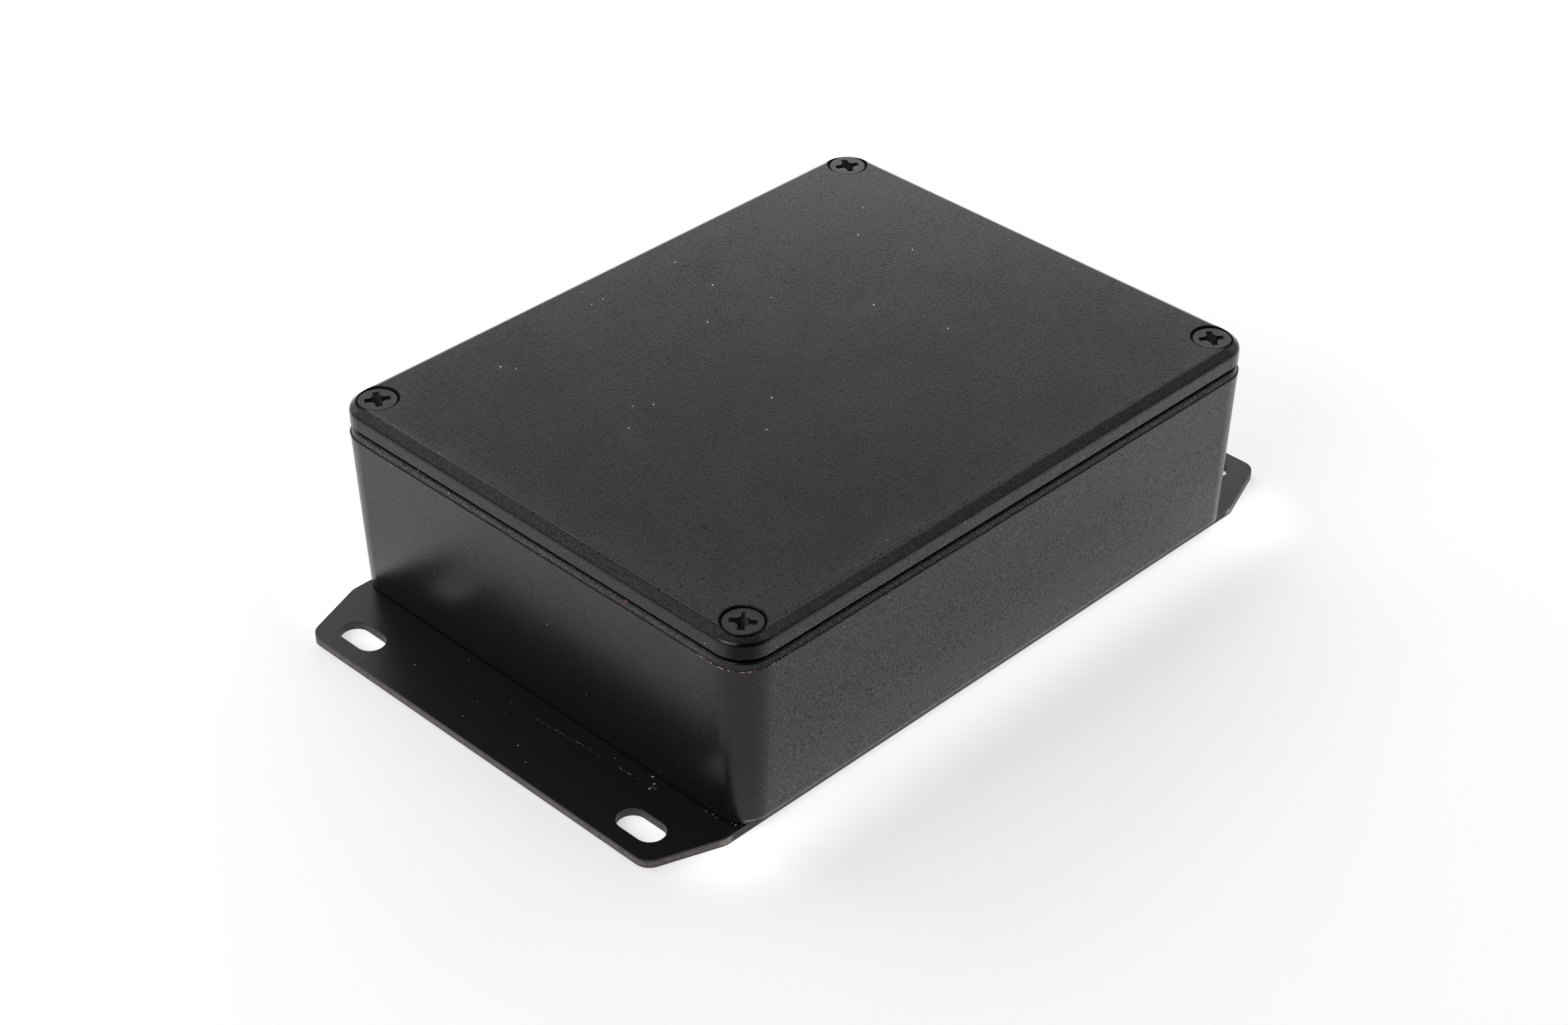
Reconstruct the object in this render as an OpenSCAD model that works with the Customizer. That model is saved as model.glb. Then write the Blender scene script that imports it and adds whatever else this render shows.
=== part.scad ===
// Die cast enclosure with a screwed lid and a flat mounting plate under it.
// Lengths run along Y, widths along X; the plate's underside is at z = 0.

/* [Box] */
// Length of the lid, end to end
box_l = 119.5; // [90:0.5:180]
// Width of the lid, side to side
box_w = 94; // [70:0.5:140]
// Height of the closed box, without the mounting plate
box_h = 36.35; // [24:0.05:80]
// Radius of the upright corners, seen from above
corner_r = 5.7; // [4:0.1:9]
// Thickness of the cast walls
wall_t = 2.2; // [1.6:0.1:3]
// Thickness of the cast floor
floor_t = 2.4; // [1.8:0.1:4]
// Lean of the cast walls for release from the die, in degrees
draft = 2.2; // [0.5:0.1:3]
// Rounding of the floor's outer edge
foot_r = 0.45; // [0.2:0.05:1.5]
// Radius of the inner corners at the rim
inner_r = 5; // [4:0.5:8]
// Fillet between the floor and the walls, inside
floor_fillet = 1.5; // [0.5:0.1:2.5]

/* [Rim] */
// Height of the rounded band between the parting line and the lid's seat
rim_h = 1.95; // [1.4:0.05:4]
// Ledge that the joint of the die leaves at the parting line
parting_step = 0.15; // [0.05:0.05:0.3]
// How far the band leans in at its top
rim_set = 0.2; // [0.1:0.05:0.5]
// Rounding of the band's top edge
rim_r = 0.45; // [0.2:0.05:0.7]
// How far the parting line stands out past the lid
parting_proud = 0.1; // [0:0.05:0.4]
// Open seam under the lid's outer edge
seam_gap = 0.55; // [0.2:0.05:0.8]
// How far in the open seam reaches from the lid's outer face
seam_depth = 1; // [0.7:0.05:1.3]

/* [Lid] */
// Height of the lid's edge above the seam
lid_h = 4.05; // [3.6:0.05:8]
// Thickness of the lid's top
lid_t = 2.2; // [1.6:0.1:3]
// Width of the flat bevel round the top edge
bevel_w = 1.65; // [0.8:0.05:2.2]
// Height of the flat bevel round the top edge
bevel_h = 1.35; // [0.8:0.05:2]
// Rounding of the bevel's two edges
edge_r = 1; // [0.2:0.05:1.1]
// Small bevel on the lid's lower edge
lip_bevel = 0.25; // [0.1:0.05:0.5]
// Depth of the locating ribs below the seam
rib_h = 2; // [1:0.1:4]
// Thickness of the locating ribs
rib_t = 1.5; // [1:0.1:2.5]
// Gap between the ribs and the walls, and between a rib's end and a post
rib_clear = 0.4; // [0.3:0.05:0.8]

/* [Lid screws] */
// Distance from the lid's sides to the axis of each screw
screw_inset = 5; // [4.6:0.1:7]
// Outer diameter of the thread
screw_d = 3.5; // [2.5:0.1:4]
// Length of a screw, head included
screw_l = 14; // [10:0.5:18]
// Diameter of the countersunk head
head_d = 6.5; // [5.5:0.1:7]
// Depth of the head's top below the lid's top
head_sink = 0.25; // [0.05:0.05:1]
// Height of the head's upright edge
head_edge = 0.45; // [0.2:0.05:0.6]
// Small bevel round the head's top
head_bevel = 0.1; // [0.05:0.05:0.15]
// Gap between the head and its countersink
head_clear = 0.3; // [0.1:0.05:0.5]
// Width of the bevel round each screw hole's top
hole_bevel_w = 0.2; // [0.1:0.05:0.6]
// Height of the bevel round each screw hole's top
hole_bevel_h = 0.2; // [0.1:0.05:0.4]
// Gap round the thread in the lid and in the posts
thread_clear = 0.25; // [0.1:0.05:0.5]
// Span of the cross recess, tip to tip
cross_span = 4.4; // [3:0.1:5]
// Width of one arm of the cross recess
cross_w = 1.15; // [0.6:0.05:1.3]
// Width of the recess where its arms meet
cross_core = 2.4; // [1.6:0.1:2.6]
// Depth of the cross recess
cross_depth = 1.9; // [1:0.1:2.5]
// Radius of the screw posts at the rim
post_r = 4.6; // [3.6:0.1:6]

/* [Mounting plate] */
// Thickness of the plate
plate_t = 1.5; // [1:0.1:3]
// How far the plate reaches past the lid at each end
flange_reach = 14.05; // [10:0.05:25]
// How far the plate's long sides lie inside the lid's
plate_inset = 2.35; // [1.8:0.05:6]
// Length of the slanting corner cuts, along the box
cut_l = 12.5; // [6:0.1:16]
// Width of the slanting corner cuts, across the box
cut_w = 4.6; // [2:0.1:8]
// Rounding of the plate's corners
plate_r = 3; // [1:0.1:4]
// Length of a mounting slot, end to end
slot_l = 9.1; // [6:0.1:14]
// Width of a mounting slot
slot_w = 5.1; // [3.2:0.1:6]
// Distance from the plate's end to the middle of a slot
slot_edge = 5.5; // [4.5:0.05:8]
// Distance from the plate's side to the middle of a slot
slot_side = 11.3; // [9:0.05:20]

/* [Plate rivets] */
// Diameter of the rivet's shank
rivet_d = 3.2; // [2.4:0.1:4]
// Diameter of the flush head in the plate
rivet_head_d = 6; // [5:0.1:7]
// Depth of the head's face above the plate's underside
rivet_sink = 0.1; // [0.05:0.05:0.3]
// Diameter of the closed end on the floor
rivet_bulb_d = 4.8; // [4.4:0.1:6]
// Height of the closed end above the floor
rivet_bulb_h = 2.2; // [1.5:0.1:3]
// Diameter of the pulled pin in the middle of a rivet
rivet_pin_d = 1.8; // [1:0.1:2]
// Gap round a rivet in its holes
rivet_clear = 0.1; // [0.05:0.05:0.2]
// Distance from the lid's sides and ends to each rivet
rivet_inset = 17; // [14:0.5:25]

/* [Hidden] */
$fn = 64;
coat = "#2c2d2e";
screw_black = "#1f2021";
rivet_grey = "#8d8f92";

// How far a cut runs past the face that it opens
past = 1;
// Lead-in at the tips of the ribs and of the screws
lead = 0.4;
// Largest share of a corner's radius that a rounded foot may take
foot_share = 0.45;

// Heights of the seam, the parting line and the lid's top
z_top = plate_t + box_h;
z_seam = z_top - lid_h;
z_part = z_seam - rim_h;
z_floor = plate_t + floor_t;
z_head = z_top - head_sink;
z_tip = z_head - screw_l;

// Corner axes of the outside, of the cavity and of the lid's pocket
corner_x = box_w / 2 - corner_r;
corner_y = box_l / 2 - corner_r;
cavity_x = box_w / 2 - wall_t - inner_r;
cavity_y = box_l / 2 - wall_t - inner_r;
pocket_edge = wall_t + rib_clear + rib_t;
pocket_x = box_w / 2 - pocket_edge - inner_r;
pocket_y = box_l / 2 - pocket_edge - inner_r;

// Screw and rivet places
screw_x = box_w / 2 - screw_inset;
screw_y = box_l / 2 - screw_inset;
rivet_x = box_w / 2 - rivet_inset;
rivet_y = box_l / 2 - rivet_inset;

// Plate outline and slot places
plate_x = box_w / 2 - plate_inset;
plate_y = box_l / 2 + flange_reach;
slot_x = plate_x - slot_side;
slot_y = plate_y - slot_edge;

// Turn of each cross recess as the screws were left, in degrees
cross_turn = [53, 62, 59, 34];

function lean(h) = h * tan(draft);
function quarter_sign(k) = [k == 0 || k == 3 ? 1 : -1, k < 2 ? 1 : -1];
function unit(v) = v / norm(v);

// Puts its children at the four places (x, y), turned by 0, 90, 180 and 270 degrees
module at_corners(x, y) {
    for (k = [0:3]) {
        s = quarter_sign(k);
        translate([s[0] * x, s[1] * y, 0])
            rotate([0, 0, 90 * k])
                children();
    }
}

// Puts its children, unturned, at the four places (x, y)
module at_four(x, y) {
    for (k = [0:3]) {
        s = quarter_sign(k);
        translate([s[0] * x, s[1] * y, 0])
            children();
    }
}

// A block with rounded corners whose edge has the section given as a child:
// r runs out from the corner axes at (x, y), and the core fills z0 to z1
module round_block(x, y, z0, z1) {
    at_corners(x, y)
        rotate_extrude(angle = 90)
            children();
    for (turn = [0, 180])
        rotate([0, 0, turn]) {
            translate([x, y, 0])
                rotate([90, 0, 0])
                    linear_extrude(2 * y)
                        children();
            translate([-x, y, 0])
                rotate([90, 0, 90])
                    linear_extrude(2 * x)
                        children();
        }
    translate([-x, -y, z0])
        cube([2 * x, 2 * y, z1 - z0]);
}

// Section with a drafted wall and a rounded foot; r_foot is the sharp foot's radius
module drafted_section(r_foot, round, z0, z1) {
    f = min(round, foot_share * r_foot);
    r_c = r_foot + lean(f) - f / cos(draft);
    polygon([
        [0, z0],
        [r_c, z0],
        [r_c + f * cos(draft), z0 + f - f * sin(draft)],
        [r_foot + lean(z1 - z0), z1],
        [0, z1]
    ]);
    translate([r_c, z0 + f])
        circle(f);
}

// Outside of the casting: drafted wall, parting line, rounded rim and the seat for the lid
module body_section() {
    r_part = corner_r + parting_proud;
    r_ledge = r_part - parting_step;
    z_rim = z_seam - seam_gap;
    tilt = atan2(rim_set, z_rim - z_part);
    r_c = r_ledge - (rim_r + (z_rim - rim_r - z_part) * sin(tilt)) / cos(tilt);
    r_seat = min(corner_r - seam_depth, r_c);
    drafted_section(r_part - lean(z_part - plate_t), foot_r, plate_t, z_part);
    polygon([
        [0, z_part],
        [r_ledge, z_part],
        [r_c, z_rim - rim_r] + rim_r * [cos(tilt), sin(tilt)],
        [r_c, z_rim],
        [r_seat, z_rim],
        [r_seat, z_seam],
        [0, z_seam]
    ]);
    translate([r_c, z_rim - rim_r])
        circle(rim_r);
}

// Inside of the casting, open at the rim
module cavity() {
    top = z_seam + past;
    r_foot = inner_r - lean(z_seam - z_floor);
    round_block(cavity_x, cavity_y, z_floor, top)
        drafted_section(r_foot, floor_fillet, z_floor, top);
}

// Corner posts that take the lid screws; they widen towards the floor
module screw_posts() {
    h = z_seam - plate_t;
    at_four(screw_x, screw_y)
        translate([0, 0, plate_t])
            cylinder(h = h + 2 * past, r1 = post_r + lean(h), r2 = post_r - lean(2 * past));
}

// Blind holes for the screws, as deep as the screws reach and a little more
module post_holes() {
    at_four(screw_x, screw_y)
        translate([0, 0, z_tip - past])
            cylinder(h = z_seam - z_tip + 2 * past, d = screw_d + 2 * thread_clear);
}

module rivet_holes(z0, z1) {
    at_four(rivet_x, rivet_y)
        translate([0, 0, z0])
            cylinder(h = z1 - z0, d = rivet_d + 2 * rivet_clear);
}

module body() {
    color(coat)
        difference() {
            round_block(corner_x, corner_y, plate_t, z_seam)
                body_section();
            difference() {
                cavity();
                screw_posts();
            }
            post_holes();
            rivet_holes(plate_t - past, z_floor + past);
        }
}

// Outside of the lid: upright edge with a flat bevel whose edges are rounded
module lid_section() {
    slope = atan2(bevel_h, bevel_w);
    along = [cos(slope), -sin(slope)];
    edge = [corner_r, z_top - bevel_h];
    crest = [corner_r - bevel_w, z_top];
    t_edge = edge_r * tan((90 - slope) / 2);
    t_crest = edge_r * tan(slope / 2);
    polygon([
        [0, z_seam],
        [corner_r - lip_bevel, z_seam],
        [corner_r, z_seam + lip_bevel],
        edge - [0, t_edge],
        edge - t_edge * along,
        crest + t_crest * along,
        crest - [t_crest, 0],
        [0, z_top]
    ]);
    translate(edge - [edge_r, t_edge])
        circle(edge_r);
    translate(crest - [t_crest, edge_r])
        circle(edge_r);
}

// Hollow under the lid's top, with solid pads left over the screw posts
module lid_pocket() {
    ceiling = z_top - lid_t;
    difference() {
        round_block(pocket_x, pocket_y, z_seam - past, ceiling)
            polygon([
                [0, z_seam - past],
                [inner_r, z_seam - past],
                [inner_r, ceiling - lead],
                [inner_r - lead, ceiling],
                [0, ceiling]
            ]);
        at_four(screw_x, screw_y)
            translate([0, 0, z_seam - 2 * past])
                cylinder(h = lid_h + 2 * past, r = post_r);
    }
}

// One straight locating rib, its outer face on the plane x = 0 and its inner face at x = -rib_t
module rib(length) {
    translate([0, length / 2, 0])
        rotate([90, 0, 0])
            linear_extrude(length)
                polygon([
                    [0, z_seam],
                    [0, z_seam - rib_h + lead],
                    [-lead, z_seam - rib_h],
                    [lead - rib_t, z_seam - rib_h],
                    [-rib_t, z_seam - rib_h + lead],
                    [-rib_t, z_seam]
                ]);
}

// Four ribs that drop inside the walls, between the posts
module lid_ribs() {
    end = post_r + lean(rib_h) + rib_clear;
    out = wall_t + rib_clear;
    for (turn = [0, 180])
        rotate([0, 0, turn]) {
            translate([box_w / 2 - out, 0, 0])
                rib(2 * (screw_y - end));
            translate([0, box_l / 2 - out, 0])
                rotate([0, 0, 90])
                    rib(2 * (screw_x - end));
        }
}

// Countersunk hole for one lid screw, on the z axis
module countersink() {
    r_hole = screw_d / 2 + thread_clear;
    r_head = head_d / 2 + head_clear;
    z_cone = z_head - head_edge;
    translate([0, 0, z_seam - 2 * past])
        cylinder(h = lid_h + 4 * past, r = r_hole);
    translate([0, 0, z_cone - (r_head - r_hole)])
        cylinder(h = r_head - r_hole, r1 = r_hole, r2 = r_head);
    translate([0, 0, z_cone])
        cylinder(h = z_top - z_cone + past, r = r_head);
    translate([0, 0, z_top - hole_bevel_h])
        cylinder(h = 2 * hole_bevel_h, r1 = r_head, r2 = r_head + 2 * hole_bevel_w);
}

module lid() {
    color(coat) {
        difference() {
            round_block(corner_x, corner_y, z_seam, z_top)
                lid_section();
            lid_pocket();
            at_four(screw_x, screw_y)
                countersink();
        }
        lid_ribs();
    }
}

// Cross recess that narrows to a point, with a wider middle, cut down from z_head
module cross_recess() {
    translate([0, 0, z_head - cross_depth])
        cylinder(h = 2 * cross_depth, r1 = cross_w / 2, r2 = cross_core - cross_w / 2);
    intersection() {
        for (turn = [0, 90])
            rotate([0, 0, turn])
                translate([-cross_span / 2, -cross_w / 2, z_head - cross_depth])
                    cube([cross_span, cross_w, cross_depth + past]);
        translate([0, 0, z_head - cross_depth])
            cylinder(h = 2 * cross_depth, r1 = cross_w / 2, r2 = cross_span - cross_w / 2);
    }
}

// One countersunk screw on the z axis, at its height in the box
module screw() {
    r = screw_d / 2;
    r_head = head_d / 2;
    difference() {
        rotate_extrude()
            polygon([
                [0, z_tip],
                [r - lead, z_tip],
                [r, z_tip + lead],
                [r, z_head - head_edge - (r_head - r)],
                [r_head, z_head - head_edge],
                [r_head, z_head - head_bevel],
                [r_head - head_bevel, z_head],
                [0, z_head]
            ]);
        cross_recess();
    }
}

module lid_screws() {
    color(screw_black)
        for (k = [0:3]) {
            s = quarter_sign(k);
            translate([s[0] * screw_x, s[1] * screw_y, 0])
                rotate([0, 0, cross_turn[k]])
                    screw();
        }
}

// Outline of the plate: a rectangle with slanting corner cuts, every corner rounded
module plate_outline() {
    half = [[plate_x, -plate_y + cut_l], [plate_x, plate_y - cut_l], [plate_x - cut_w, plate_y]];
    points = concat(
        half,
        [[-half[2][0], half[2][1]]],
        [for (p = half) [-p[0], -p[1]]],
        [[half[2][0], -half[2][1]]]
    );
    n = len(points);
    corners = [for (i = [0:n - 1]) rounded_corner(points[(i + n - 1) % n], points[i], points[(i + 1) % n])];
    polygon([for (c = corners) each [c[0], c[1]]]);
    for (c = corners)
        translate(c[2])
            circle(plate_r);
}

// Where the rounding of corner p starts and ends, and its middle
function rounded_corner(before, p, after) =
    let (
        u = unit(before - p),
        v = unit(after - p),
        half_angle = acos(u * v) / 2,
        t = plate_r / tan(half_angle)
    )
    [p + t * u, p + t * v, p + unit(u + v) * plate_r / sin(half_angle)];

module slot() {
    straight = slot_l - slot_w;
    square([straight, slot_w], center = true);
    for (side = [-1, 1])
        translate([side * straight / 2, 0])
            circle(d = slot_w);
}

// Space of one rivet's flush head, widened by gap
module rivet_head(gap) {
    r = rivet_d / 2;
    r_head = rivet_head_d / 2;
    h = (r_head - r) * tan(30);
    rotate_extrude()
        polygon([
            [0, rivet_sink - gap],
            [r_head + gap, rivet_sink - gap],
            [r_head + gap, rivet_sink],
            [r + gap, rivet_sink + h],
            [0, rivet_sink + h]
        ]);
}

module flange_plate() {
    color(coat)
        difference() {
            linear_extrude(plate_t)
                difference() {
                    plate_outline();
                    at_four(slot_x, slot_y)
                        slot();
                }
            rivet_holes(-past, plate_t + past);
            at_four(rivet_x, rivet_y)
                rivet_head(rivet_clear);
        }
}

// One blind rivet on the z axis: flush head, shank, closed end and the pulled pin's dimple
module rivet() {
    r = rivet_d / 2;
    r_bulb = rivet_bulb_d / 2;
    z_bulb = z_floor + rivet_bulb_h;
    difference() {
        union() {
            rivet_head(0);
            translate([0, 0, rivet_sink])
                cylinder(h = z_floor - rivet_sink, r = r);
            translate([0, 0, z_floor])
                rotate_extrude()
                    polygon([
                        [0, 0],
                        [r_bulb, 0],
                        [r_bulb, rivet_bulb_h - 2 * lead],
                        [r_bulb - lead, rivet_bulb_h - lead],
                        [r, rivet_bulb_h],
                        [0, rivet_bulb_h]
                    ]);
        }
        translate([0, 0, rivet_sink - past])
            cylinder(h = past + lead, d = rivet_pin_d);
        translate([0, 0, z_bulb - lead])
            cylinder(h = past + lead, d = rivet_pin_d);
    }
}

module plate_rivets() {
    color(rivet_grey)
        at_four(rivet_x, rivet_y)
            rivet();
}

body();
lid();
lid_screws();
flange_plate();
plate_rivets();
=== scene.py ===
"""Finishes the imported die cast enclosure: powder coat, wear, dust, threads and a plain studio."""

import math

import bmesh
import bpy
from bpy.props import FloatProperty, FloatVectorProperty, PointerProperty
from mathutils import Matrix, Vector, noise


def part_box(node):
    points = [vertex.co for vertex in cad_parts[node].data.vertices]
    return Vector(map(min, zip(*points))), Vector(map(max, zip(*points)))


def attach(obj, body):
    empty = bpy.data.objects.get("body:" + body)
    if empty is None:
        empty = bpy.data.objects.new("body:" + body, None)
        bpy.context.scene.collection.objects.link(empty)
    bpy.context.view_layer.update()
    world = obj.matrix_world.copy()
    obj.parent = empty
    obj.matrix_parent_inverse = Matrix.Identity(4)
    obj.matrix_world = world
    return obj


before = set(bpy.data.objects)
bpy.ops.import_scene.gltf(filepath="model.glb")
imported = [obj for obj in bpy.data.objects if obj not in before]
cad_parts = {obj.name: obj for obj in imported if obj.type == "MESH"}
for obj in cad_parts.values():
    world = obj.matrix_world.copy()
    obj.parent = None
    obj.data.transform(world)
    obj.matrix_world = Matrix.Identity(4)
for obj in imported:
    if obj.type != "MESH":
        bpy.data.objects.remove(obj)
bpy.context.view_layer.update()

bl_info = {
    "name": "Cast Enclosure Finish",
    "version": (1, 0, 0),
    "blender": (4, 5, 0),
    "location": "View3D > Sidebar > Enclosure",
    "description": "Coats, wears and dusts the packed enclosure and sets a plain studio round it",
    "category": "Object",
}

BODY_LOW, BODY_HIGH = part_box("body")
SCREWS_LOW, SCREWS_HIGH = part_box("lid_screws")
MM = 0.001
HEAD_RADIUS = 3.25 * MM
SCREW_X, SCREW_Y = SCREWS_HIGH.x - HEAD_RADIUS, SCREWS_HIGH.y - HEAD_RADIUS


class Value:
    """A number, colour or vector in a finish's node tree, so that shader maths reads as Python."""

    def __init__(self, finish, socket):
        self.finish = finish
        self.socket = socket

    def math(self, operation, *others):
        return self.finish.node("Math", {"operation": operation}, dict(enumerate((self, *others))))

    def __add__(self, other):
        return self.math("ADD", other)

    __radd__ = __add__

    def __sub__(self, other):
        return self.math("SUBTRACT", other)

    def __rsub__(self, other):
        return self.finish.node("Math", {"operation": "SUBTRACT"}, {0: other, 1: self})

    def __mul__(self, other):
        return self.math("MULTIPLY", other)

    __rmul__ = __mul__

    def __truediv__(self, other):
        return self.math("DIVIDE", other)

    def __pow__(self, other):
        return self.math("POWER", other)

    def __abs__(self):
        return self.math("ABSOLUTE")

    def __lt__(self, other):
        return self.math("LESS_THAN", other)

    def __gt__(self, other):
        return self.math("GREATER_THAN", other)

    def lowest(self, other):
        return self.math("MINIMUM", other)

    def highest(self, other):
        return self.math("MAXIMUM", other)

    def ramp(self, start, end):
        """0 before start and 1 after end, smooth between them; start may lie above end."""
        low, high = (0.0, 1.0) if start < end else (1.0, 0.0)
        return self.finish.node(
            "MapRange",
            {"interpolation_type": "SMOOTHSTEP"},
            {"Value": self, "From Min": min(start, end), "From Max": max(start, end),
             "To Min": low, "To Max": high},
        )


class Finish:
    """A node material of the enclosure, in millimetres of the object's own frame."""

    def __init__(self, name):
        self.material = bpy.data.materials.new(name)
        self.material.use_nodes = True
        self.tree = self.material.node_tree
        self.tree.nodes.clear()
        place = self.node("TexCoord", output="Object")
        self.place = self.node("VectorMath", {"operation": "SCALE"}, {0: place, "Scale": 1 / MM})
        self.x, self.y, self.z = (
            self.node("SeparateXYZ", {}, {0: self.place}, axis) for axis in "XYZ"
        )

    def node(self, kind, settings=None, inputs=None, output=0):
        """Adds a node, sets it, links or fills its sockets and returns one of its outputs."""
        made = self.tree.nodes.new("ShaderNode" + kind)
        for name, value in (settings or {}).items():
            setattr(made, name, value)
        for key, value in (inputs or {}).items():
            if isinstance(value, Value):
                self.tree.links.new(value.socket, made.inputs[key])
            else:
                made.inputs[key].default_value = value
        return Value(self, made.outputs[output])

    def blend(self, mask, first, second):
        """The first colour where the mask is 0 and the second where it is 1."""
        first, second = (c if isinstance(c, Value) else (*c, 1.0) for c in (first, second))
        return self.node("Mix", {"data_type": "RGBA"}, {0: mask, 6: first, 7: second}, 2)

    def shifted(self, offset):
        """The place, moved so that like patterns on two pieces or layers don't repeat."""
        return self.node("VectorMath", {"operation": "ADD"}, {0: self.place, 1: offset})

    def grain(self, size, detail=2.0, rough=0.5, offset=(0.0, 0.0, 0.0)):
        """Soft noise whose grains are about size millimetres wide."""
        return self.node(
            "TexNoise", {"noise_dimensions": "3D"},
            {"Vector": self.shifted(offset), "Scale": 1 / size,
             "Detail": detail, "Roughness": rough},
        )

    def specks(self, spacing, smallest, largest, share, offset=(0.0, 0.0, 0.0)):
        """Scattered specks, 1 at the middle and 0 past the edge; a share of the cells holds one."""
        cell = {"Vector": self.shifted(offset), "Scale": 1 / spacing}
        away = self.node("TexVoronoi", {}, cell, "Distance") * spacing
        chance = self.node("SeparateColor", {}, {0: self.node("TexVoronoi", {}, cell, "Color")}, 0)
        size = smallest + (largest - smallest) * (1 - chance / share)
        return (1 - away / size).highest(0.0) * (chance < share)

    def stroke(self, start, end, width):
        """1 within width of the straight line from start to end, seen from above."""
        (ax, ay), (bx, by) = start, end
        length = math.hypot(bx - ax, by - ay)
        ux, uy = (bx - ax) / length, (by - ay) / length
        along = (self.x - ax) * ux + (self.y - ay) * uy
        across = abs((self.y - ay) * ux - (self.x - ax) * uy)
        return (across < width) * (along > 0.0) * (along < length)

    def reach(self, across, along):
        """Length of a step across and along."""
        return (across ** 2.0 + along ** 2.0) ** 0.5

    def away(self, x, y):
        """Distance from an upright axis."""
        return self.reach(self.x - x, self.y - y)

    def away_from_screws(self):
        """Distance from the axis of the nearest lid screw."""
        return self.reach(abs(self.x) - SCREW_X / MM, abs(self.y) - SCREW_Y / MM)

    def surface(self, colour, roughness, height=None, depth=0.0, **more):
        """Links the shader; height is a bump of that depth in metres, more fills other sockets."""
        sockets = {"Base Color": colour, "Roughness": roughness}
        for key, value in more.items():
            sockets[key.replace("_", " ").title().replace("Ior", "IOR")] = value
        if height is not None:
            bump = {"Strength": 1.0, "Distance": depth, "Height": height}
            sockets["Normal"] = self.node("Bump", {}, bump)
        self.node_output(self.node("BsdfPrincipled", {}, sockets))
        return self.material

    def node_output(self, shader):
        """Links the shader to the material's output."""
        end = self.tree.nodes.new("ShaderNodeOutputMaterial")
        self.tree.links.new(shader.socket, end.inputs["Surface"])


def dress(node, material):
    """Gives a CAD node its finish."""
    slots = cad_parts[node].data.materials
    slots.clear()
    slots.append(material)


def shape(name, mesh, material):
    """Makes a finished bmesh an object of the scene."""
    data = bpy.data.meshes.new(name)
    mesh.to_mesh(data)
    mesh.free()
    data.materials.append(material)
    made = bpy.data.objects.new(name, data)
    bpy.context.scene.collection.objects.link(made)
    return made


def piece(name, mesh, body, material):
    """Makes a finished bmesh an object that rides on a body of the frame."""
    bmesh.ops.recalc_face_normals(mesh, faces=mesh.faces[:])
    made = shape(name, mesh, material)
    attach(made, body)


def towards(turn, rise):
    """Direction from the part, turned from its near end and raised above the horizon."""
    level = math.cos(rise)
    return Vector((math.sin(turn) * level, -math.cos(turn) * level, math.sin(rise)))


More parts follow.
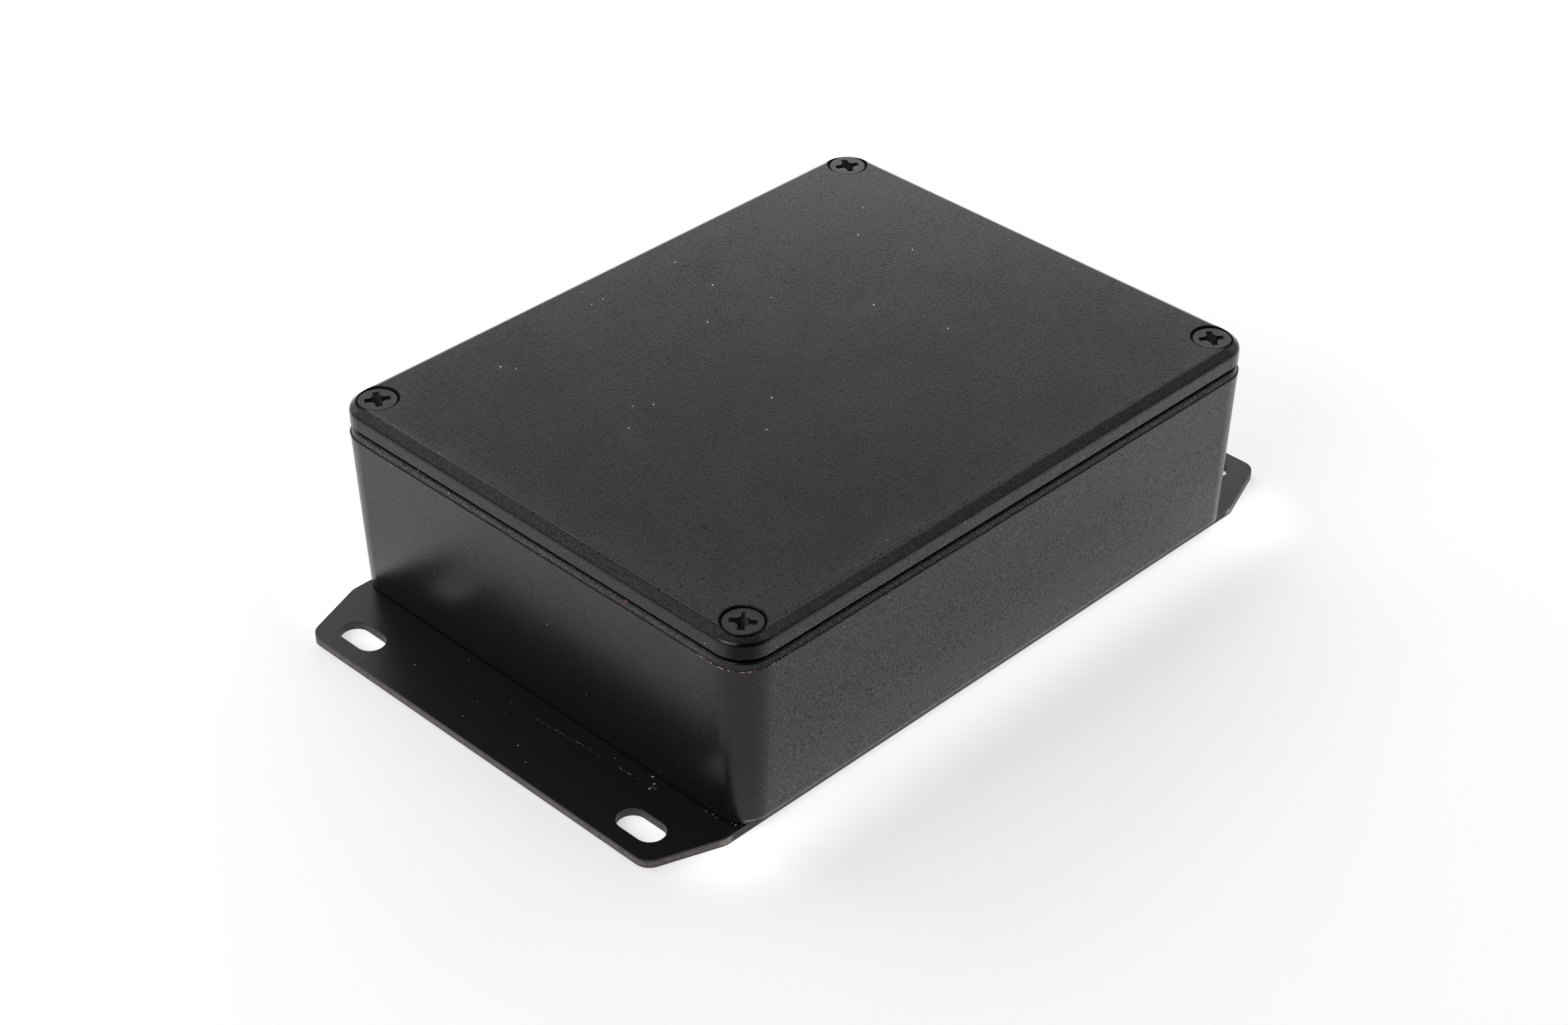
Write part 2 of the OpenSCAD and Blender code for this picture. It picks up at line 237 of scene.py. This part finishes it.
class EnclosureFinish(bpy.types.PropertyGroup):
    """Colours and sizes of the coat and its wear."""

    coat_colour: FloatVectorProperty(
        name="Coat", description="Colour of the powder coat", subtype="COLOR", size=3,
        min=0.0, max=1.0, default=(0.013, 0.013, 0.0132),
    )
    plate_colour: FloatVectorProperty(
        name="Plate coat", description="Colour of the plate's smoother coat",
        subtype="COLOR", size=3, min=0.0, max=1.0, default=(0.009, 0.009, 0.0092),
    )
    # Also painted as a highlight: the pale line along the foot of the body's long walls
    sheared_and_highlight_colour: FloatVectorProperty(
        name="Sheared edge",
        description="Colour of the thin coat on the plate's sheared edges and the scuffed foot",
        subtype="COLOR", size=3, min=0.0, max=1.0, default=(0.15, 0.12, 0.115),
    )
    bare_colour: FloatVectorProperty(
        name="Bare edge",
        description="Colour of the plate's long edges, where the coat is thinnest",
        subtype="COLOR", size=3, min=0.0, max=1.0, default=(0.5, 0.43, 0.41),
    )
    # Also the colour that the lid's painted shade blends towards
    pit_colour: FloatVectorProperty(
        name="Pits", description="Colour at the bottom of the coat's pits", subtype="COLOR", size=3,
        min=0.0, max=1.0, default=(0.0008, 0.0008, 0.0008),
    )
    # Also painted shadow: the dark edge under the body's foot and the plate's long edges under the
    # casting
    lip_and_shadow_colour: FloatVectorProperty(
        name="Hole lips",
        description="Dull brown at the lips of the screw holes and under the casting's foot",
        subtype="COLOR", size=3, min=0.0, max=1.0, default=(0.012, 0.009, 0.008),
    )
    worn_colour: FloatVectorProperty(
        name="Worn edge", description="Reddish primer where the coat is thin",
        subtype="COLOR", size=3, min=0.0, max=1.0, default=(0.075, 0.035, 0.03),
    )
    chip_colour: FloatVectorProperty(
        name="Chip", description="Red of the bare primer in a chip of the rim",
        subtype="COLOR", size=3, min=0.0, max=1.0, default=(0.35, 0.05, 0.03),
    )
    dust_colour: FloatVectorProperty(
        name="Dust", description="Colour of the dust specks", subtype="COLOR", size=3,
        min=0.0, max=1.0, default=(0.6, 0.6, 0.58),
    )
    screw_colour: FloatVectorProperty(
        name="Screws", description="Colour of the blackened screws", subtype="COLOR", size=3,
        min=0.0, max=1.0, default=(0.022, 0.022, 0.022),
    )
    rivet_colour: FloatVectorProperty(
        name="Rivets", description="Colour of the bare rivet metal", subtype="COLOR", size=3,
        min=0.0, max=1.0, default=(0.55, 0.55, 0.56),
    )
    coat_roughness: FloatProperty(
        name="Coat roughness", description="Roughness of the coat between its grains",
        min=0.0, max=1.0, default=0.28,
    )
    lid_roughness: FloatProperty(
        name="Lid roughness", description="Roughness of the lid's smoother coat between its grains",
        min=0.0, max=1.0, default=0.22,
    )
    plate_roughness: FloatProperty(
        name="Plate roughness", description="Roughness of the plate's coat",
        min=0.0, max=1.0, default=0.26,
    )
    body_grain: FloatProperty(
        name="Body grain", description="Width of a grain of the coat on the body, in millimetres",
        min=0.05, max=2.0, default=0.3,
    )
    lid_grain: FloatProperty(
        name="Lid grain", description="Width of a grain of the coat on the lid, in millimetres",
        min=0.05, max=2.0, default=0.3,
    )
    rim_height: FloatProperty(
        name="Rim height", description="Height of the seam above the parting line",
        unit="LENGTH", min=0.001, max=0.005, precision=5, default=0.00195,
    )
    corner_radius: FloatProperty(
        name="Corner radius", description="Radius of the parting line's corners",
        unit="LENGTH", min=0.003, max=0.01, precision=5, default=0.0058,
    )
    thread_pitch: FloatProperty(
        name="Thread pitch", description="Rise of the screw thread in one turn",
        unit="LENGTH", min=0.0004, max=0.0015, precision=5, default=0.0008,
    )


class EnclosureStudio(bpy.types.PropertyGroup):
    """Camera, floor and lights of the plain studio."""

    aim: FloatVectorProperty(
        name="Aim", description="Point that the camera looks at", subtype="TRANSLATION", size=3,
        unit="LENGTH", default=(0.009323, -0.013338, 0.02),
    )
    azimuth: FloatProperty(
        name="Azimuth", description="Turn of the camera round the part",
        subtype="ANGLE", default=math.radians(44.77),
    )
    elevation: FloatProperty(
        name="Elevation", description="Height of the camera above the horizon",
        subtype="ANGLE", default=math.radians(35.225),
    )
    distance: FloatProperty(
        name="Distance", description="Distance from the camera to its aim",
        unit="LENGTH", min=0.1, max=5.0, default=0.50516,
    )
    lens: FloatProperty(
        name="Lens", description="Focal length on a 36 mm wide sensor, in millimetres",
        min=10.0, max=300.0, default=71.21,
    )
    floor_colour: FloatVectorProperty(
        name="Floor", description="Colour of the pale floor", subtype="COLOR", size=3,
        min=0.0, max=1.0, default=(0.82, 0.82, 0.82),
    )
    floor_glow: FloatProperty(
        name="Floor glow", description="Light that comes up through the floor, as on a light table",
        min=0.0, max=2.0, default=0.46,
    )
    # Painted light: a pool of glow on the floor close round the part
    near_glow: FloatProperty(
        name="Near glow", description="More of that light close round the part",
        min=0.0, max=2.0, default=0.3,
    )
    panel_distance: FloatProperty(
        name="Panel distance", description="Distance of the soft panels from the part",
        unit="LENGTH", min=0.3, max=5.0, default=1.2,
    )
    panel_height: FloatProperty(
        name="Panel height", description="Height of the soft panels",
        unit="LENGTH", min=0.1, max=2.0, default=0.5,
    )
    sky_strength: FloatProperty(
        name="Room light", description="Strength of the even light from all round",
        min=0.0, max=5.0, default=0.0,
    )


class CoatBody(bpy.types.Operator):
    """Powder coat of the cast body: coarse grain, pits, a painted highlight and shadow along the
    foot, and dust on the rim
    """

    bl_idname = "enclosure.coat_body"
    bl_label = "Coat the body"

    # Where each mask starts and is full, in millimetres: heights, then half lengths and widths
    rim_span = (31.9, 32.1)
    foot_span = (2.8, 2.3)
    under_span = (2.2, 2.05)
    end_span = (57.2, 58.2)
    side_span = (44.3, 44.9)
    rim_side_span = (45.5, 46.0)
    # The near corner, smoother and with painted shade, seen from above, and distances over which it
    # fades
    corner_at, corner_span = (44.5, -59.3), (8.0, 2.0)
    # The chip in the rim, seen from above, its radius and its lowest height
    chip_at, chip_radius, chip_low = (21.9, -59.6), 0.35, 33.0

    def execute(self, context):
        look = context.scene.enclosure_finish
        coat = Finish("body_coat")
        peel = coat.grain(look.body_grain, rough=0.6)
        cloud = coat.grain(9.0)
        patchy = coat.grain(1.0, 3.0, 0.6, (3.0, 0.0, 7.0)).ramp(0.35, 0.6)
        pits = coat.specks(0.8, 0.14, 0.28, 0.5)
        bumps = coat.specks(0.7, 0.1, 0.2, 0.5, offset=(3.0, 7.0, 1.0))
        rim = coat.z.ramp(*self.rim_span)
        rim_dust = (coat.specks(1.3, 0.05, 0.14, 0.4, offset=(1.0, 6.0, 2.0)) > 0.0) * rim
        dust = (coat.specks(2.0, 0.05, 0.13, 0.07, offset=(5.0, 1.0, 2.0)) > 0.0).highest(rim_dust)
        chip = (coat.away(*self.chip_at) < self.chip_radius) * (coat.z > self.chip_low)
        # The coat lies calmer, with few pits, at the near corner and on the end walls, which also
        # get painted shade
        corner = coat.away(*self.corner_at).ramp(*self.corner_span) * 0.9
        calm_and_shade = corner.highest(abs(coat.y).ramp(*self.end_span) * (1 - rim) * 0.62)
        smooth = rim.highest(calm_and_shade)
        hollow = pits.ramp(0.0, 0.4) * (1 - smooth)
        # Painted highlight: a pale line along the foot of the long walls, with a painted shadow as a
        # dark edge under it
        long_wall = abs(coat.x).ramp(*self.side_span)
        foot = coat.z.ramp(*self.foot_span) * long_wall * (0.4 + patchy * 0.6)
        under = coat.z.ramp(*self.under_span) * long_wall
        colour = coat.blend(hollow, look.coat_colour, look.pit_colour)
        colour = coat.blend(foot, colour, look.sheared_and_highlight_colour)
        colour = coat.blend(under, colour, look.lip_and_shadow_colour)
        colour = coat.blend(chip, colour, look.chip_colour)
        colour = coat.blend(dust, colour, look.dust_colour)
        roughness = look.coat_roughness + (cloud - 0.5) * 0.06 + dust * 0.4
        height = (peel - hollow * 0.9 + bumps * 0.9) * (1 - smooth * 0.7) + dust * 0.3
        # Metallic over the dark base takes the shine off, so the grain shows as light and dark
        # Painted shade: the rim band on the long walls is made darker with more metallic
        long_rim = rim * abs(coat.x).ramp(*self.rim_side_span)
        dull = (peel.ramp(0.62, 0.38) * 0.75 + hollow * 0.6 + long_rim * 0.4).lowest(1.0)
        # Painted shade: more metallic, so a darker sheen, on the end walls and most at the near
        # corner
        dull = dull * (1 - calm_and_shade) + calm_and_shade * 0.5 + corner * 0.18
        dull = (dull * (1 - dust.highest(foot))).highest(under * 0.9)
        material = coat.surface(
            colour, roughness, height, 0.03 * MM, metallic=dull, specular_ior_level=0.74,
        )
        dress("body", material)
        return {"FINISHED"}


class CoatLid(bpy.types.Operator):
    """Powder coat of the lid: a shallower grain than the body's, worn round the screws, with dust"""

    bl_idname = "enclosure.coat_lid"
    bl_label = "Coat the lid"

    # Where each mask starts and is full, in millimetres: heights, then half the length
    pit_span = (37.3, 37.7)
    corner_height_span = (37.2, 36.2)
    end_height_span = (36.8, 36.4)
    end_span = (59.0, 59.5)
    # Distances from a screw's axis over which the lip of its hole starts and ends
    lip_inner_span, lip_outer_span = (3.1, 3.4), (3.8, 3.7)
    # Seen from above: the near corner with painted shade and the chipped spot beside its screw, with
    # fades
    corner_at, corner_span = (47.0, -59.75), (5.8, 2.5)
    chipped_at, chipped_span = (44.6, -57.4), (3.0, 1.4)

    def execute(self, context):
        look = context.scene.enclosure_finish
        coat = Finish("lid_coat")
        peel = coat.grain(look.lid_grain, rough=0.6, offset=(11.0, 0.0, 0.0))
        cloud = coat.grain(14.0)
        patchy = coat.grain(1.1, 3.0, 0.6, (2.0, 5.0, 0.0)).ramp(0.45, 0.62)
        pits = coat.specks(0.9, 0.14, 0.28, 0.5, offset=(0.0, 4.0, 0.0))
        dust = coat.specks(2.0, 0.05, 0.13, 0.13, offset=(9.0, 3.0, 1.0)) > 0.0
        chips = coat.specks(0.8, 0.08, 0.2, 0.3) > 0.0
        chips = chips * coat.away(*self.chipped_at).ramp(*self.chipped_span)
        ring = coat.away_from_screws()
        lip = ring.ramp(*self.lip_outer_span) * ring.ramp(*self.lip_inner_span)
        hollow = pits.ramp(0.0, 0.4) * coat.z.ramp(*self.pit_span)
        # Painted shade: the side walls are darker at the near corner and, less so, at the two ends
        corner = coat.away(*self.corner_at).ramp(*self.corner_span)
        corner = corner * coat.z.ramp(*self.corner_height_span)
        end = abs(coat.y).ramp(*self.end_span) * coat.z.ramp(*self.end_height_span)
        shade = corner.highest(end * 0.35)
        colour = coat.blend(hollow.highest(shade * 0.6), look.coat_colour, look.pit_colour)
        colour = coat.blend(lip, colour, look.lip_and_shadow_colour)
        colour = coat.blend((lip * patchy * 0.4).highest(chips * 0.7), colour, look.worn_colour)
        colour = coat.blend(dust, colour, look.dust_colour)
        roughness = look.lid_roughness + (cloud - 0.5) * 0.04 + dust * 0.4 + lip * 0.3
        height = peel - hollow * 0.4 + dust * 0.3
        dull = (peel.ramp(0.62, 0.38) * 0.6 + hollow * 0.5).lowest(1.0)
        # Painted shade also raises the metallic on the corner and ends, for a darker sheen
        dull = (dull * (1 - shade) + shade * 0.85).highest(lip * 0.8) * (1 - dust)
        material = coat.surface(
            colour, roughness, height, 0.02 * MM, metallic=dull, specular_ior_level=0.65,
        )
        dress("lid", material)
        return {"FINISHED"}


class FinishScrews(bpy.types.Operator):
    """Blackened steel of the four lid screws, and the thread on their shanks"""

    bl_idname = "enclosure.finish_screws"
    bl_label = "Finish the screws"

    # Colours of the darker blotches and of the cross recess, painted lighter and browner as light on
    # its walls
    blotch_colour = (0.006, 0.006, 0.0062)
    recess_light_colour = (0.03, 0.02, 0.018)
    # Depths below the heads, in millimetres, over which the recess takes its painted light
    recess_span = (0.25, 0.6)
    # The shank's radius, how far the ridge stands out of it, and the plain tip, in metres
    shank_radius, ridge_height, plain_tip = 1.7 * MM, 0.2 * MM, 0.6 * MM
    steps_per_turn = 20

    def execute(self, context):
        look = context.scene.enclosure_finish
        steel = Finish("screw_black")
        blotch = steel.grain(0.7, 3.0, 0.6)
        fine = steel.grain(0.09)
        rubbed = steel.grain(0.28, rough=0.6).ramp(0.3, 0.7)
        deep = steel.z.ramp(*(SCREWS_HIGH.z / MM - depth for depth in self.recess_span))
        colour = steel.blend(blotch.ramp(0.35, 0.65), look.screw_colour, self.blotch_colour)
        colour = steel.blend(deep, colour, self.recess_light_colour)
        roughness = 0.3 + (blotch - 0.5) * 0.2 + deep * 0.3
        dull = rubbed * 0.5 * (1 - deep)
        material = steel.surface(colour, roughness, fine, 0.006 * MM, metallic=dull)
        dress("lid_screws", material)
        self.threads(look.thread_pitch, material)
        return {"FINISHED"}

    def threads(self, rise, material):
        """One helical ridge per screw, from the tip up to the lid."""
        low, high = SCREWS_LOW.z + self.plain_tip, BODY_HIGH.z
        turns = (high - low) / rise - 1
        steps = int(turns * self.steps_per_turn)
        ridge = ((0.0, 0.0), (self.ridge_height, 0.5 * rise), (0.0, 0.9 * rise))
        mesh = bmesh.new()
        for x in (-SCREW_X, SCREW_X):
            for y in (-SCREW_Y, SCREW_Y):
                face = mesh.faces.new([
                    mesh.verts.new((x + self.shank_radius + out, y, low + up)) for out, up in ridge
                ])
                bmesh.ops.spin(
                    mesh, geom=[face, *face.edges, *face.verts], cent=(x, y, low), axis=(0, 0, 1),
                    dvec=(0, 0, rise / self.steps_per_turn),
                    angle=math.tau * steps / self.steps_per_turn, steps=steps,
                    use_merge=False, use_duplicate=False,
                )
        bmesh.ops.holes_fill(mesh, edges=[e for e in mesh.edges if e.is_boundary], sides=3)
        piece("screw_threads", mesh, "cover", material)


class CoatPlate(bpy.types.Operator):
    """Smooth coat of the mounting plate: sheared edges, a broken scratch and dust"""

    bl_idname = "enclosure.coat_plate"
    bl_label = "Coat the plate"

    # The line of the scratch on the near flange, in millimetres, seen from above
    scratch = ((0.2, -62.85), (8.1, -62.2), (15.2, -61.65), (22.6, -61.4), (30.3, -60.8))
    scratch_width = 0.14
    # The middles of three larger dust grains beside it
    grit, grit_radius = ((27.75, -60.31), (28.04, -61.56), (26.33, -59.3)), 0.2
    # The groove along the casting that catches dust towards the near corner
    groove_y, groove_width, groove_span = -58.4, 0.8, (30.0, 40.0)
    # Middle of a slot from the plate's middle, half its straight part, and just past its wall
    slot_x, slot_y, slot_straight, slot_reach = 33.35, 68.3, 2.0, 2.7
    # Heights: just under the top face, and the sheared, rolled and burred parts of an edge
    near_top, scratch_span = 1.4, (1.4, 1.48)
    sheared_low, sheared_high = 0.02, 1.45
    rolled_span, burr_span = (0.9, 1.4), (0.35, 0.15)
    # Half widths where the long edges start, and half lengths where the casting covers them, which
    # get painted shade
    long_edge_span, covered_span = (44.2, 44.5), (60.5, 59.5)

    def execute(self, context):
        look = context.scene.enclosure_finish
        coat = Finish("plate_coat")
        peel = coat.grain(0.35, offset=(0.0, 0.0, 9.0))
        streaks = coat.grain(0.5, 3.0, 0.7, (7.0, 1.0, 0.0)).ramp(0.3, 0.65)
        on_top = coat.z > self.near_top
        dust = coat.specks(1.3, 0.05, 0.13, 0.2, offset=(2.0, 8.0, 4.0)) > 0.0
        groove = abs(coat.y - self.groove_y) < self.groove_width
        caught = coat.specks(0.6, 0.08, 0.16, 0.8, offset=(1.0, 2.0, 3.0)) > 0.0
        dust = dust.highest(caught * groove * coat.x.ramp(*self.groove_span) * on_top)
        for place in self.grit:
            dust = dust.highest((coat.away(*place) < self.grit_radius) * on_top)
        line = coat.z.ramp(*self.scratch_span) * self.broken_line(coat)
        # The thin coat of the sheared edges: bare metal on the long ones, with painted shade in dark
        # brown where the casting covers them
        sheared = (coat.z < self.sheared_high) * (coat.z > self.sheared_low)
        beside = (abs(abs(coat.x) - self.slot_x) - self.slot_straight).highest(0.0)
        in_slot = coat.reach(beside, abs(coat.y) - self.slot_y) < self.slot_reach
        thin = sheared * (0.25 + streaks * 0.75) * (1 - coat.z.ramp(*self.rolled_span))
        thin = thin * (1 - in_slot * 0.7)
        bare = abs(coat.x).ramp(*self.long_edge_span) * (0.4 + streaks * 0.6)
        edge = coat.blend(bare, look.sheared_and_highlight_colour, look.bare_colour)
        edge = coat.blend(abs(coat.y).ramp(*self.covered_span), edge, look.lip_and_shadow_colour)
        edge = coat.blend(coat.z.ramp(*self.burr_span), edge, look.worn_colour)
        colour = coat.blend(thin, look.plate_colour, edge)
        colour = coat.blend((line * 0.6).highest(dust), colour, look.dust_colour)
        roughness = look.plate_roughness + sheared * 0.25 + dust * 0.4
        height = peel + dust * 0.8 - line * 0.5
        dress("flange_plate", coat.surface(colour, roughness, height, 0.01 * MM))
        return {"FINISHED"}

    def broken_line(self, coat):
        """The crumbs of the scratch, seen from above."""
        line = coat.stroke(*self.scratch[:2], self.scratch_width)
        for start, end in zip(self.scratch[1:], self.scratch[2:]):
            line = line.highest(coat.stroke(start, end, self.scratch_width))
        breaks = coat.grain(1.2, rough=0.6, offset=(4.0, 4.0, 0.0)).ramp(0.46, 0.56)
        crumbs = coat.specks(0.22, 0.05, 0.11, 0.75, offset=(4.0, 1.0, 0.0)) > 0.0
        return line * breaks * crumbs


class FinishRivets(bpy.types.Operator):
    """Bare metal of the plate rivets, dulled in patches"""

    bl_idname = "enclosure.finish_rivets"
    bl_label = "Finish the rivets"

    dulled_colour = (0.33, 0.33, 0.34)

    def execute(self, context):
        look = context.scene.enclosure_finish
        metal = Finish("rivet_metal")
        dull = metal.grain(0.8, 3.0, 0.6).ramp(0.35, 0.7)
        colour = metal.blend(dull, look.rivet_colour, self.dulled_colour)
        material = metal.surface(
            colour, 0.32 + dull * 0.2, metal.grain(0.12), 0.008 * MM, metallic=0.9 - dull * 0.2,
        )
        dress("plate_rivets", material)
        return {"FINISHED"}


class AddFlash(bpy.types.Operator):
    """Thin uneven flash that the die's joint left round the body, with the coat worn off it"""

    bl_idname = "enclosure.add_flash"
    bl_label = "Add the flash line"

    # How far the flash's three corners lie out of the body's box and above the flash's level, in mm
    profile = ((-0.06, -0.1), (0.07, 0.0), (-0.06, 0.1))
    # Edges longer than this, in metres, are the straight sides, which are cut into short steps
    straight_length, straight_cuts, corner_segments = 0.02, 160, 14
    # Waves per metre of the small bites and of the slow sway
    bite_pitch, sway_pitch = 900.0, 120.0
    # Distances from the near corner, in millimetres, over which more of the coat is worn
    corner_span = (14.0, 6.0)
    fresh_colour = (0.55, 0.38, 0.36)

    def execute(self, context):
        look = context.scene.enclosure_finish
        mesh, loops = self.ridge(look.corner_radius)
        self.roughen(loops, BODY_HIGH.z - look.rim_height)
        bmesh.ops.bridge_loops(mesh, edges=loops[0] + loops[-1])
        piece("parting_flash", mesh, "base", self.material(look))
        return {"FINISHED"}

    def ridge(self, corner_radius):
        """The body's outline, extruded to one loop of edges for each corner of the profile."""
        mesh = bmesh.new()
        bmesh.ops.create_grid(mesh, x_segments=1, y_segments=1, size=1.0)
        bmesh.ops.scale(mesh, vec=(BODY_HIGH.x, BODY_HIGH.y, 1.0), verts=mesh.verts[:])
        bmesh.ops.bevel(
            mesh, geom=mesh.verts[:], offset=corner_radius, offset_type="OFFSET",
            segments=self.corner_segments, profile=0.5, affect="VERTICES", material=-1,
        )
        straight = [e for e in mesh.edges if e.calc_length() > self.straight_length]
        bmesh.ops.subdivide_edges(mesh, edges=straight, cuts=self.straight_cuts)
        bmesh.ops.delete(mesh, geom=mesh.faces[:], context="FACES_KEEP_BOUNDARY")
        loops = [mesh.edges[:]]
        for _ in self.profile[1:]:
            made = bmesh.ops.extrude_edge_only(mesh, edges=loops[-1])["geom"]
            rails = [e for e in made if isinstance(e, bmesh.types.BMEdge)]
            ring = set(v for v in made if isinstance(v, bmesh.types.BMVert))
            loops.append([e for e in rails if all(v in ring for v in e.verts)])
        return mesh, loops

    def roughen(self, loops, level):
        """Sets each loop at its corner of the profile, with bites and a sway."""
        for loop, (out, up) in zip(loops, self.profile):
            for v in {v for e in loop for v in e.verts}:
                bite = noise.noise(Vector((v.co.x, v.co.y, 0.0)) * self.bite_pitch)
                sway = noise.noise(Vector((v.co.x, v.co.y, 0.03)) * self.sway_pitch)
                reach = out * (1 + 0.6 * bite) * MM
                v.co.x *= 1 + reach / BODY_HIGH.x
                v.co.y *= 1 + reach / BODY_HIGH.y
                v.co.z = level + (up * (1 + 0.4 * bite) + 0.08 * sway) * MM

    def material(self, look):
        """Coat worn down to the primer, and to fresh metal in spots by the near corner."""
        flash = Finish("worn_flash")
        corner = flash.away(BODY_HIGH.x / MM, BODY_LOW.y / MM).ramp(*self.corner_span)
        worn = (flash.grain(1.6, 3.0, 0.6) + corner * 0.2).ramp(0.42, 0.62)
        bright = flash.grain(0.5, rough=0.6, offset=(0.0, 3.0, 0.0)).ramp(0.52, 0.6) * corner
        colour = flash.blend(worn, look.coat_colour, look.worn_colour)
        colour = flash.blend(bright, colour, self.fresh_colour)
        return flash.surface(colour, 0.5 + worn * 0.1, flash.grain(0.2), 0.01 * MM)


class SetStudio(bpy.types.Operator):
    """Pale floor, soft lights and the camera at the photograph's angle"""

    bl_idname = "enclosure.set_studio"
    bl_label = "Set the studio"

    # Azimuth, elevation, width and brightness of each soft panel
    panels = (
        (90.0, 12.0, 0.99, 0.31),
        (135.0, 12.0, 0.99, 0.43),
        (180.0, 12.0, 0.99, 3.53),
        (225.0, 12.0, 0.99, 0.64),
        (270.0, 12.0, 0.99, 0.39),
        (90.0, 35.0, 0.815, 0.33),
        (135.0, 35.0, 0.815, 1.28),
        (180.0, 35.0, 0.815, 0.57),
        (225.0, 35.0, 0.815, 1.98),
        (270.0, 35.0, 0.815, 0.71),
        (315.0, 35.0, 0.815, 3.03),
        (22.5, 59.0, 0.93, 0.26),
        (90.0, 59.0, 0.466, 1.41),
        (135.0, 59.0, 0.466, 1.08),
        (180.0, 59.0, 0.466, 0.5),
        (225.0, 59.0, 0.466, 1.41),
        (315.0, 59.0, 0.466, 0.39),
    )
    # Half the floor's side and its squares, and a hair's gap that keeps it off the plate's plane
    floor_half, floor_squares, floor_gap = 3.0, 24, 0.05 * MM
    # The part's half width and length, and how far past them the near glow, a painted pool of light,
    # fades, in millimetres
    glow_x, glow_y, glow_span = 45.0, 60.0, (16.0, 0.0)
    floor_shade = (0.7, 0.7, 0.7)

    def execute(self, context):
        studio = context.scene.enclosure_studio
        self.floor(studio)
        self.room(context.scene, studio)
        for number, panel in enumerate(self.panels, 1):
            self.panel(context.scene, studio, f"panel_{number:02d}", *panel)
        self.camera(context.scene, studio)
        context.scene.view_settings.view_transform = "Standard"
        return {"FINISHED"}

    def floor(self, studio):
        mesh = bmesh.new()
        squares = self.floor_squares
        bmesh.ops.create_grid(mesh, x_segments=squares, y_segments=squares, size=self.floor_half)
        bmesh.ops.translate(mesh, vec=(0.0, 0.0, -self.floor_gap), verts=mesh.verts[:])
        paper = Finish("floor_paper")
        tone = paper.grain(60.0)
        colour = paper.blend(tone * 0.02, studio.floor_colour, self.floor_shade)
        # Painted pool of light on the floor, brightest at the part's edge
        beside = (abs(paper.x) - self.glow_x).highest(0.0)
        beyond = (abs(paper.y) - self.glow_y).highest(0.0)
        near = paper.reach(beside, beyond).ramp(*self.glow_span)
        light = studio.floor_glow + near * studio.near_glow
        material = paper.surface(colour, 0.9, emission_color=light, emission_strength=1.0)
        made = shape("floor", mesh, material)

    def room(self, scene, studio):
        scene.world = bpy.data.worlds.new("room")
        scene.world.use_nodes = True
        light = scene.world.node_tree.nodes["Background"].inputs
        light["Color"].default_value = (1.0, 1.0, 1.0, 1.0)
        light["Strength"].default_value = studio.sky_strength

    def panel(self, scene, studio, name, azimuth, elevation, width, brightness):
        away = towards(studio.azimuth + math.radians(azimuth), math.radians(elevation))
        data = bpy.data.lights.new(name, "AREA")
        data.shape = "RECTANGLE"
        data.size, data.size_y = width, studio.panel_height
        data.energy = brightness * math.pi * width * studio.panel_height
        made = bpy.data.objects.new(name, data)
        made.location = away * studio.panel_distance
        made.rotation_mode = "QUATERNION"
        made.rotation_quaternion = away.to_track_quat("Z", "Y")
        scene.collection.objects.link(made)

    def camera(self, scene, studio):
        back = towards(studio.azimuth, studio.elevation)
        data = bpy.data.cameras.new("camera")
        data.sensor_fit = "HORIZONTAL"
        data.sensor_width = 36.0
        data.lens = studio.lens
        data.clip_start, data.clip_end = 0.01, 20.0
        made = bpy.data.objects.new("camera", data)
        made.location = Vector(studio.aim) + back * studio.distance
        made.rotation_mode = "QUATERNION"
        made.rotation_quaternion = back.to_track_quat("Z", "Y")
        scene.collection.objects.link(made)
        scene.camera = made


STEPS = (CoatBody, CoatLid, FinishScrews, CoatPlate, FinishRivets, AddFlash, SetStudio)


class EnclosurePanel(bpy.types.Panel):
    """Sidebar with the finish, the studio and one button per step"""

    bl_idname = "ENCLOSURE_PT_finish"
    bl_label = "Enclosure"
    bl_space_type = "VIEW_3D"
    bl_region_type = "UI"
    bl_category = "Enclosure"

    def draw(self, context):
        for group in (context.scene.enclosure_finish, context.scene.enclosure_studio):
            box = self.layout.box()
            for name in group.__annotations__:
                box.prop(group, name)
        for step in STEPS:
            self.layout.operator(step.bl_idname)


CLASSES = (EnclosureFinish, EnclosureStudio, *STEPS, EnclosurePanel)


def register():
    for kind in CLASSES:
        bpy.utils.register_class(kind)
    bpy.types.Scene.enclosure_finish = PointerProperty(type=EnclosureFinish)
    bpy.types.Scene.enclosure_studio = PointerProperty(type=EnclosureStudio)


def unregister():
    del bpy.types.Scene.enclosure_studio
    del bpy.types.Scene.enclosure_finish
    for kind in reversed(CLASSES):
        bpy.utils.unregister_class(kind)


def main():
    register()
    for step in STEPS:
        group, name = step.bl_idname.split(".")
        getattr(getattr(bpy.ops, group), name)()


if __name__ == "__main__":
    main()
